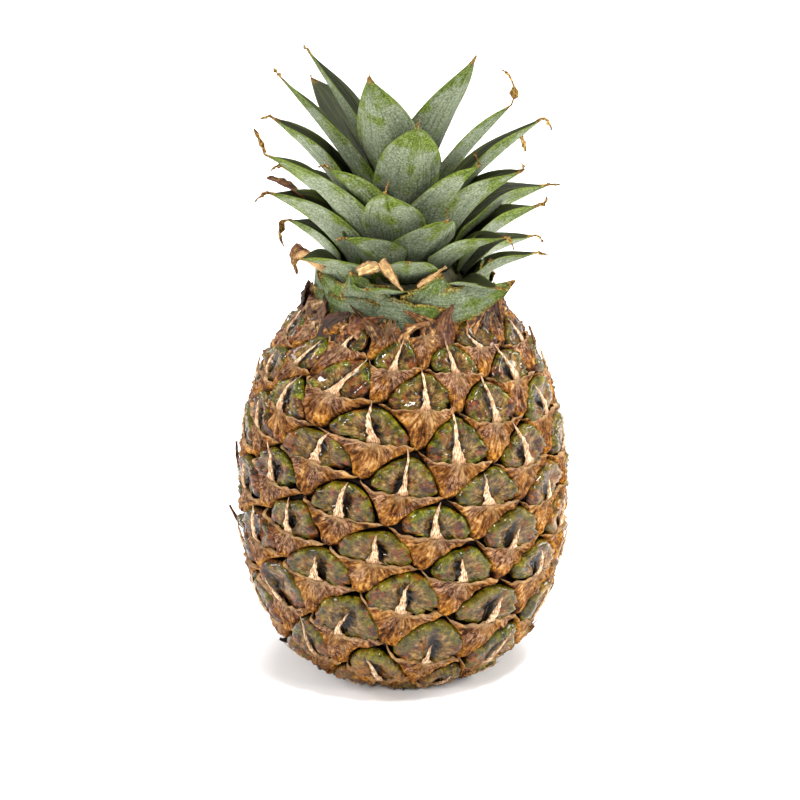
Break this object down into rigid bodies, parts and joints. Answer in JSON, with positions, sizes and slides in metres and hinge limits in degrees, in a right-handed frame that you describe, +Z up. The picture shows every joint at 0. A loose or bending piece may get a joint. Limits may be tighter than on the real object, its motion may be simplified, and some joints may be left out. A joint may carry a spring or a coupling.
{
  "type": "whole pineapple",
  "caption": "Whole unpeeled pineapple standing upright, with its rind of spiny eyes and its crown of stout grey-green leaves.",
  "frame": {"origin": "centre of the small flat spot that the fruit stands on", "axes": "+Z up through the crown, -Y is the side that faces the camera in the picture, +X to its right"},
  "size_m": [0.1272, 0.1262, 0.2435],
  "materials": {
    "rind": "waxy olive-green shields over dry brown papery bracts",
    "stem": "pale fibrous stem, matte",
    "leaf": "stiff green leaf with a grey waxy bloom"
  },
  "bodies": {
    "root": {"fruit": "rind", "crown_stem": "stem", "leaf_01": "leaf", "leaf_02": "leaf", "leaf_03": "leaf", "leaf_04": "leaf", "leaf_05": "leaf", "leaf_06": "leaf", "leaf_07": "leaf", "leaf_08": "leaf", "leaf_09": "leaf", "leaf_10": "leaf", "leaf_11": "leaf", "leaf_12": "leaf", "leaf_13": "leaf", "leaf_14": "leaf", "leaf_15": "leaf", "leaf_16": "leaf", "leaf_17": "leaf", "leaf_18": "leaf", "leaf_19": "leaf", "leaf_20": "leaf", "leaf_21": "leaf", "leaf_22": "leaf", "leaf_23": "leaf", "leaf_24": "leaf", "leaf_25": "leaf", "leaf_26": "leaf", "leaf_27": "leaf", "leaf_28": "leaf", "leaf_29": "leaf", "leaf_30": "leaf", "leaf_31": "leaf", "leaf_32": "leaf", "leaf_33": "leaf", "leaf_34": "leaf", "leaf_35": "leaf", "leaf_36": "leaf", "leaf_37": "leaf", "leaf_38": "leaf", "leaf_39": "leaf", "leaf_40": "leaf", "leaf_41": "leaf", "leaf_42": "leaf", "leaf_43": "leaf"}
  },
  "joints": []
}
